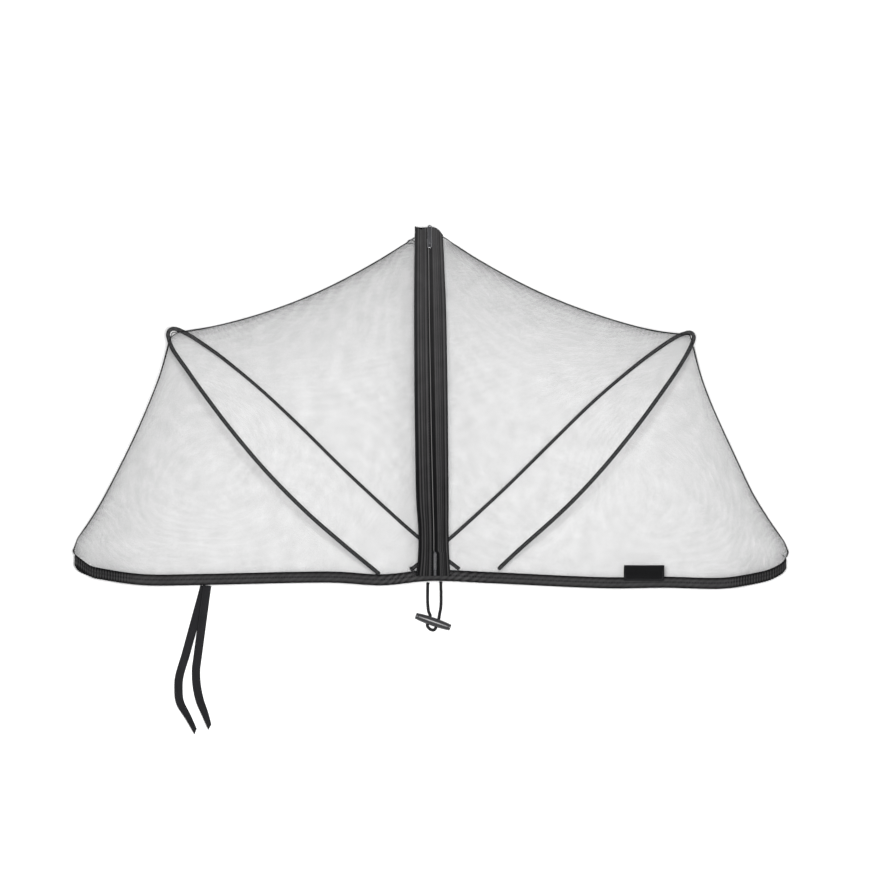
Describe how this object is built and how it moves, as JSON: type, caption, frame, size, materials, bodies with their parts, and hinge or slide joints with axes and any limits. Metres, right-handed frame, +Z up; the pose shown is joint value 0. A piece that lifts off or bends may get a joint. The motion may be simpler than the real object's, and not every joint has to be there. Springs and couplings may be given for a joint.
{
  "type": "stroller mosquito net",
  "caption": "Sheer stroller net lying on its back, with sprung hoops, a centre zip band, an elastic hem round the open mouth, tie ribbons and a toggle cord.",
  "frame": {"origin": "on the surface, under the middle of the flat back net", "axes": "+X along the hem, +Y from the mouth to the top end of the zip, +Z up from the back net to the front nets"},
  "size_m": [0.8, 0.5664, 0.1259],
  "materials": {
    "net": "sheer fine mesh",
    "binding": "woven elastic tape",
    "casing": "woven casing over spring wire",
    "zip_tape": "ridged woven tape",
    "zip_coil": "moulded coil",
    "zip_slider": "painted",
    "ribbon": "woven ribbon",
    "toggle": "satin",
    "cord": "braided elastic",
    "tab": "close woven, bare"
  },
  "bodies": {
    "root": {"net_front_left": "net", "net_front_right": "net", "net_back": "net", "hem_binding": "binding", "hoop_left": "casing", "hoop_right": "casing", "zip_tape_left": "zip_tape", "zip_tape_right": "zip_tape", "zip_coil": "zip_coil", "zip_slider": "zip_slider", "zip_pull": "zip_slider", "tie_left": "ribbon", "tie_right": "ribbon", "toggle_barrel": "toggle", "toggle_cord": "cord", "label_tab": "tab"}
  },
  "joints": []
}
